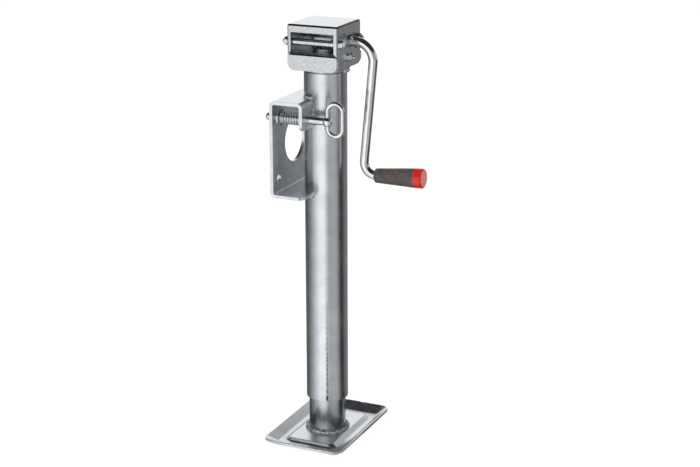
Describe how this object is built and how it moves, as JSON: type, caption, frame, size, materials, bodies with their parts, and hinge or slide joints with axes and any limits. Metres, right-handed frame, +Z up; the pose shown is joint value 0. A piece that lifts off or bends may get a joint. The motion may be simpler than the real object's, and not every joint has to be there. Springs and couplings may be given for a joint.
{
  "type": "trailer prop stand",
  "caption": "Side-wind trailer stand: tube with screw-driven drop leg, tray foot, folded gear head with side crank, and bracket with sprung lock pin.",
  "frame": {"origin": "on the ground under the tubes' axis, with the leg wound in", "axes": "+Z up along the tubes, +X towards the crank's side, -Y towards the side with the lock pin"},
  "size_m": [0.2021, 0.174, 0.5725],
  "materials": {
    "zinc_plate": "bright zinc plated",
    "weld": "zinc plated weld bead",
    "bright_steel": "bright plated",
    "bush": "sintered, lightly oiled",
    "grip_plastic": "moulded, slightly worn",
    "cap_plastic": "moulded, glossy"
  },
  "bodies": {
    "stand": {"outer_tube": "zinc_plate", "mount_bracket": "zinc_plate", "bracket_welds": "weld", "head_base": "zinc_plate", "head_cover": "zinc_plate", "front_tie_bolt": "zinc_plate", "rear_tie_bolt": "zinc_plate", "tie_nuts": "zinc_plate", "tie_washers": "zinc_plate", "tie_sleeves": "zinc_plate", "side_studs": "zinc_plate", "side_nuts": "zinc_plate", "side_washers": "zinc_plate", "shaft_bush_right": "bush", "shaft_bush_left": "bush", "upper_race": "bright_steel", "thrust_balls": "bright_steel", "head_welds": "weld"},
    "screw": {"lead_screw": "bright_steel", "thrust_collar": "bright_steel", "lower_race": "bright_steel", "bevel_gear": "bright_steel", "gear_key": "bright_steel", "gear_nut": "zinc_plate", "screw_stop": "bright_steel"},
    "leg": {"inner_tube": "zinc_plate", "travel_nut": "bright_steel", "foot_plate": "zinc_plate", "foot_weld": "weld"},
    "crank": {"crank_rod": "zinc_plate", "bevel_pinion": "bright_steel", "pinion_pin": "zinc_plate", "shaft_pin": "zinc_plate", "shaft_clip": "zinc_plate", "grip_retainer": "zinc_plate"},
    "grip": {"grip_sleeve": "grip_plastic", "grip_cap": "cap_plastic"},
    "plunger": {"plunger_pin": "zinc_plate", "plunger_washer": "zinc_plate", "plunger_cross_pin": "zinc_plate", "plunger_spring": "bright_steel"},
    "ring": {"pull_ring": "bright_steel"}
  },
  "joints": [
    {"name": "crank_turn", "type": "hinge", "parent": "stand", "child": "crank", "pos_m": [0, 0, 0.549], "axis": [1, 0, 0], "range_deg": [0, 28800]},
    {"name": "screw_turn", "type": "hinge", "parent": "stand", "child": "screw", "pos_m": [0, 0, 0], "axis": [0, 0, 1], "range_deg": [0, 14400]},
    {"name": "leg_slide", "type": "slide", "parent": "stand", "child": "leg", "axis": [0, 0, -1], "range_m": [0, 0.24]},
    {"name": "grip_spin", "type": "hinge", "parent": "crank", "child": "grip", "pos_m": [0.05361, 0, 0.37335], "axis": [0.999, 0, 0.0454], "continuous": true},
    {"name": "plunger_slide", "type": "slide", "parent": "stand", "child": "plunger", "axis": [1, 0, 0], "range_m": [0, 0.013], "stiffness_N_per_m": 1500, "springref_m": -0.01, "deforming": ["plunger_spring"]},
    {"name": "ring_swing", "type": "hinge", "parent": "plunger", "child": "ring", "pos_m": [0.025, -0.048, 0.4515], "axis": [0, 0, 1], "range_deg": [-85, 85]}
  ],
  "couplings": [
    {"joint": "screw_turn", "follows": "crank_turn", "ratio": 0.5},
    {"joint": "leg_slide", "follows": "crank_turn", "m_per_rad": 0.00047746}
  ]
}
